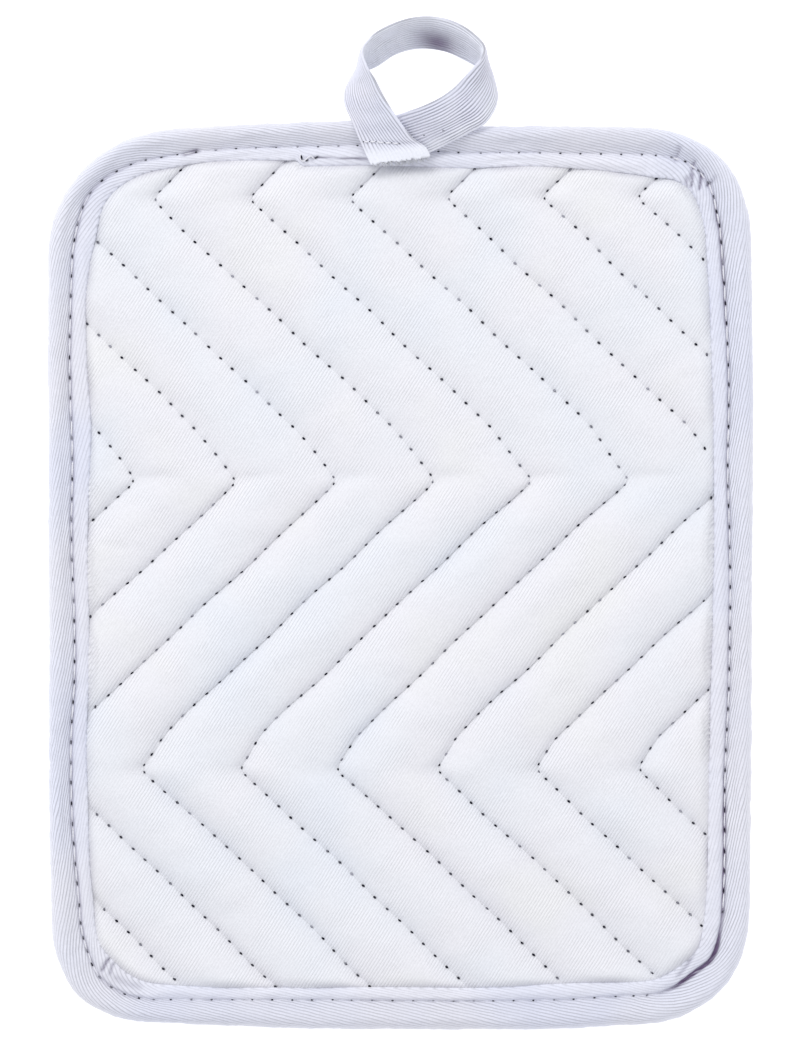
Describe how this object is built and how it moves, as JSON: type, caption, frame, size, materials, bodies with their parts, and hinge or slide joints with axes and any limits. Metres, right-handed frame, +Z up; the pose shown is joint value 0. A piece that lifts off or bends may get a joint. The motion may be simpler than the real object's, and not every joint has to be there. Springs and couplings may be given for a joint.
{
  "type": "pot holder",
  "caption": "Quilted rectangular cloth pot holder with rounded corners, chevron seams, a folded tape binding and a tape hanging loop at one short edge.",
  "frame": {"origin": "middle of the bound pad's outline, on the flat underside that it lies on", "axes": "+X to the right across the pad, +Y along the pad towards the hanging loop, +Z up out of the face that shows"},
  "size_m": [0.1783, 0.2573, 0.0162],
  "materials": {
    "quilted_pad": "white cotton twill, fine diagonal rib, matt, quilted over soft wadding",
    "edge_binding": "white cotton twill tape with a cool cast, ribs running along it, topstitched",
    "hanging_loop": "the same white cotton twill tape, folded flat"
  },
  "bodies": {
    "root": {"quilted_pad": "quilted_pad", "edge_binding": "edge_binding", "hanging_loop": "hanging_loop"}
  },
  "joints": []
}
